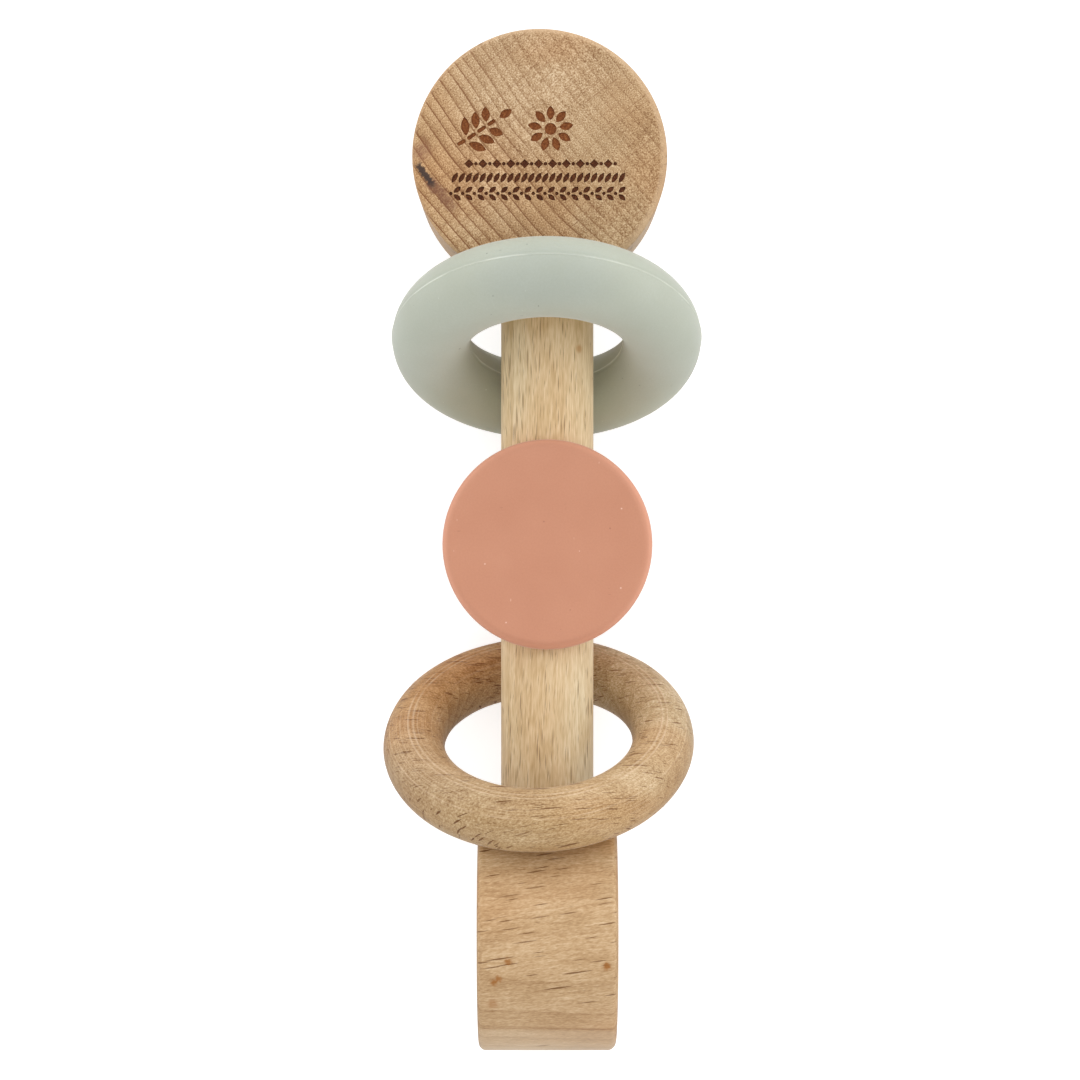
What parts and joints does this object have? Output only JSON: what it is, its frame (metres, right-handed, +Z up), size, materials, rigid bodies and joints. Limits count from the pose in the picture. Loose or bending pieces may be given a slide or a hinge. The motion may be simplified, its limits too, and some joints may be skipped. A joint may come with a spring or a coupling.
{
  "type": "baby rattle",
  "caption": "Baby rattle: a wooden dowel with a thick wooden disc at each end, a silicone bead on its middle, and a loose silicone ring and a loose wooden ring around it.",
  "frame": {"origin": "on the table that the rattle lies on, under the middle of the dowel", "axes": "+Y along the dowel towards the head disc, +Z up out of the head disc's face, +X to the right of the two"},
  "size_m": [0.0513, 0.1632, 0.0454],
  "materials": {
    "beech_dowel": "sanded light beech, thin oil",
    "beech_disc": "sanded beech, thin oil",
    "beech_ring": "turned and sanded beech, thin oil",
    "mint_silicone": "matte moulded silicone, pale mint",
    "terracotta_silicone": "matte moulded silicone, terracotta"
  },
  "bodies": {
    "frame": {"dowel": "beech_dowel", "head_disc": "beech_disc", "foot_disc": "beech_disc", "silicone_bead": "terracotta_silicone"},
    "silicone_ring": {"silicone_ring": "mint_silicone"},
    "wooden_ring": {"wooden_ring": "beech_ring"}
  },
  "joints": [
    {"name": "silicone_ring_rock", "type": "hinge", "parent": "frame", "child": "silicone_ring", "pos_m": [-0.0001, 0.02396, 0.0063], "axis": [1, 0, 0], "range_deg": [0, 46]},
    {"name": "wooden_ring_rock", "type": "hinge", "parent": "frame", "child": "wooden_ring", "pos_m": [-0.00183, -0.02061, 0.005], "axis": [-0.9993, -0.0384, 0], "range_deg": [0, 47]}
  ]
}
